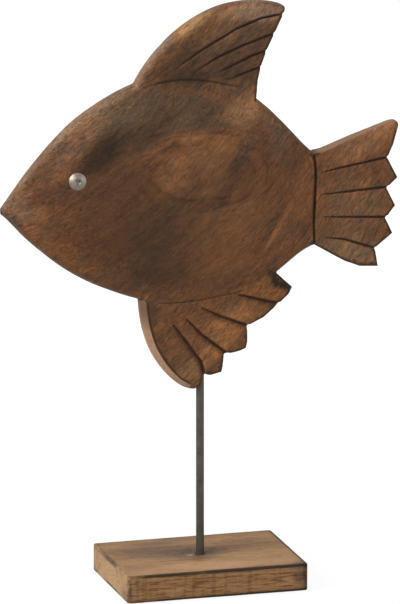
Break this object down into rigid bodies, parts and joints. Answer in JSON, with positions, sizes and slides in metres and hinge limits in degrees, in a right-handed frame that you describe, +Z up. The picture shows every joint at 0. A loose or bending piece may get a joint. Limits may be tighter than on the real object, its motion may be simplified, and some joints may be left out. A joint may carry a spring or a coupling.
{
  "type": "fish figurine",
  "caption": "Flat carved wooden fish with V-cut fins and domed metal tack eyes, held by a thin steel rod on a rectangular wooden base block. A free-standing shelf ornament.",
  "frame": {"origin": "on the surface that the ornament stands on, under the middle of the base block and the rod", "axes": "+Z up along the rod, +X from the fish's nose towards its tail, +Y from the fish's left side towards its right side"},
  "size_m": [0.3068, 0.1, 0.4442],
  "materials": {
    "stained_wood": "dark stained hardwood, rubbed wax, satin",
    "base_wood": "brown stained hardwood, sawn faces, satin",
    "dark_steel": "dark drawn steel, unpolished",
    "dull_nickel": "dull nickel plate",
    "zinc_steel": "zinc plate",
    "felt": "pressed felt"
  },
  "bodies": {
    "root": {"carved_fish": "stained_wood", "left_eye_tack": "dull_nickel", "right_eye_tack": "dull_nickel", "stand_rod": "dark_steel", "base_block": "base_wood", "rod_washer": "zinc_steel", "rod_nut": "zinc_steel", "front_left_pad": "felt", "front_right_pad": "felt", "rear_left_pad": "felt", "rear_right_pad": "felt"}
  },
  "joints": []
}
